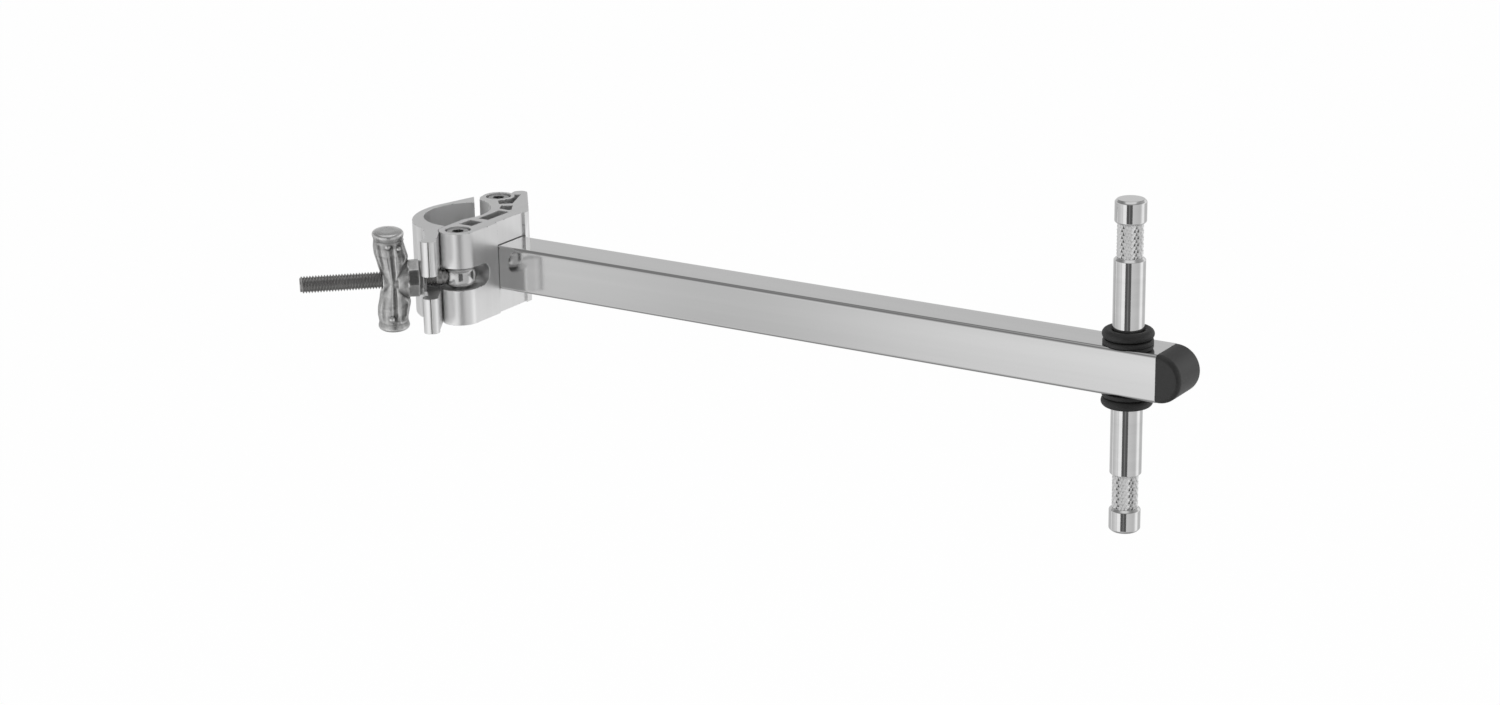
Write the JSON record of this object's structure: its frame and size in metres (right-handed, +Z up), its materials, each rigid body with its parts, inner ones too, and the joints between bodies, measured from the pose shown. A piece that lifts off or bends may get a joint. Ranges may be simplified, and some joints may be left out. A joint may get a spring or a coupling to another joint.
{
  "type": "grip side arm",
  "caption": "Square steel arm with a hinged tube clamp and wing nut at one end and a double-ended upright stud with rubber rings at the other.",
  "frame": {"origin": "axis of the clamped tube at the jaws' mid-height: the centre of the fixed jaw's seat", "axes": "+X along the arm to the stud, +Z up along the clamped tube and the stud, +Y across the arm to the clamp's hinge pin"},
  "size_m": [0.4922, 0.1476, 0.1726],
  "materials": {
    "satin_aluminium": "satin extruded",
    "chrome": "plated",
    "bright_steel": "zinc plated",
    "cast_nut": "plated casting, rough",
    "black_rubber": "matte",
    "cap_plastic": "moulded, soft sheen"
  },
  "bodies": {
    "arm": {"fixed_jaw": "satin_aluminium", "hinge_pin": "bright_steel", "pivot_pin": "bright_steel", "pin_nuts": "bright_steel", "clamp_screw": "bright_steel", "clamp_washer": "bright_steel", "tube_plug": "bright_steel", "arm_tube": "chrome", "spigot": "chrome", "spigot_block": "satin_aluminium", "spigot_set_screw": "bright_steel", "upper_ring": "black_rubber", "upper_flange": "black_rubber", "lower_ring": "black_rubber", "lower_flange": "black_rubber", "end_cap": "cap_plastic"},
    "jaw": {"moving_jaw": "satin_aluminium"},
    "bolt": {"eyebolt": "bright_steel"},
    "washer": {"seat_washer": "bright_steel"},
    "nut": {"wing_nut": "cast_nut"}
  },
  "joints": [
    {"name": "jaw_swing", "type": "hinge", "parent": "arm", "child": "jaw", "pos_m": [0.01, 0.0376, 0], "axis": [0, 0, -1], "range_deg": [0, 30]},
    {"name": "bolt_swing", "type": "hinge", "parent": "arm", "child": "bolt", "pos_m": [0.0342, -0.0316, 0], "axis": [0, 0, -1], "range_deg": [0, 30]},
    {"name": "nut_travel", "type": "slide", "parent": "bolt", "child": "washer", "axis": [-0.7373, -0.6756, 0], "range_m": [0, 0.03756]},
    {"name": "nut_spin", "type": "hinge", "parent": "washer", "child": "nut", "pos_m": [0.0342, -0.0316, 0], "axis": [-0.7373, -0.6756, 0], "range_deg": [0, 8517]}
  ],
  "couplings": [
    {"joint": "jaw_swing", "follows": "nut_spin", "ratio": 0.003522},
    {"joint": "bolt_swing", "follows": "nut_spin", "ratio": 0.003522},
    {"joint": "nut_travel", "follows": "nut_spin", "m_per_rad": 0.00025266}
  ]
}
